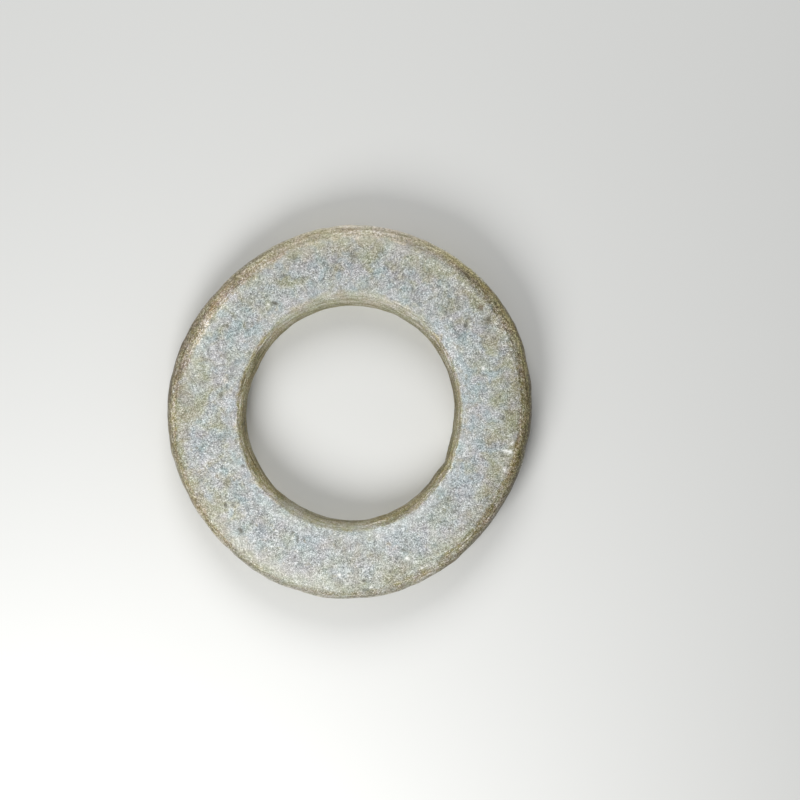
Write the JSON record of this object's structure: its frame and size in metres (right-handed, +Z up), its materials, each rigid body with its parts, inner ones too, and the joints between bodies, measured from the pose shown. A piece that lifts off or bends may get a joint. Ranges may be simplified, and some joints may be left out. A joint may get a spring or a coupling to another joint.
{
  "type": "stone bracelet",
  "caption": "Broad flat stone arm ring, ground by hand, with a flared bore and bevelled outer edge.",
  "frame": {"origin": "middle of the outline's box, on the underside", "axes": "the ring lies flat, +Z up from its underside; +X to the right and +Y to the top of the face that is seen"},
  "size_m": [0.1066, 0.1094, 0.0142],
  "materials": {
    "stone": "ground grey-green stone with a dull handling polish"
  },
  "bodies": {
    "root": {"ring": "stone"}
  },
  "joints": []
}
